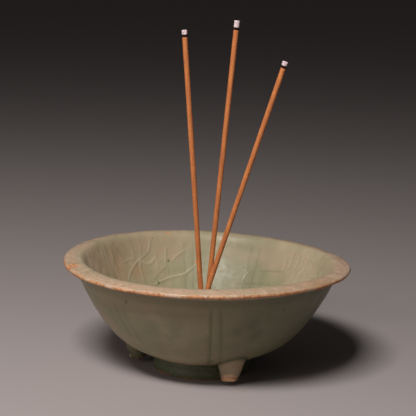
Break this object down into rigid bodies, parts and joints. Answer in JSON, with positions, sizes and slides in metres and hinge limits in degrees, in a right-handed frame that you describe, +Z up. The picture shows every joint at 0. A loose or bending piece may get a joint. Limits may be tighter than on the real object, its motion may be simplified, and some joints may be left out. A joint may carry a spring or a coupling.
{
  "type": "tripod incense burner",
  "caption": "Wide glazed stoneware censer bowl on a foot ring with short cone feet under the wall, with incense sticks that pull out of its ash bed.",
  "frame": {"origin": "on the table, under the centre of the rim", "axes": "+Z up, -Y towards the front, where one foot stands a little to the right"},
  "size_m": [0.14, 0.14, 0.1703],
  "materials": {
    "celadon_glaze": "gloss",
    "foot_glaze": "satin",
    "ash": "matte",
    "incense": "matte",
    "char": "matte",
    "ember_ash": "matte"
  },
  "bodies": {
    "censer": {"bowl": "celadon_glaze", "foot_ring": "foot_glaze", "foot_front": "celadon_glaze", "foot_right_rear": "celadon_glaze", "foot_left": "celadon_glaze", "ash_bed": "ash"},
    "left_stick": {"stick_left": "incense", "char_left": "char", "tip_left": "ember_ash"},
    "middle_stick": {"stick_middle": "incense", "char_middle": "char", "tip_middle": "ember_ash"},
    "right_stick": {"stick_right": "incense", "char_right": "char", "tip_right": "ember_ash"}
  },
  "joints": [
    {"name": "left_stick_pull", "type": "slide", "parent": "censer", "child": "left_stick", "axis": [-0.0875, -0.0624, 0.9942], "range_m": [0, 0.011]},
    {"name": "middle_stick_pull", "type": "slide", "parent": "censer", "child": "middle_stick", "axis": [0.0737, -0.0337, 0.9967], "range_m": [0, 0.011]},
    {"name": "right_stick_pull", "type": "slide", "parent": "censer", "child": "right_stick", "axis": [0.2859, -0.0366, 0.9576], "range_m": [0, 0.011]}
  ]
}
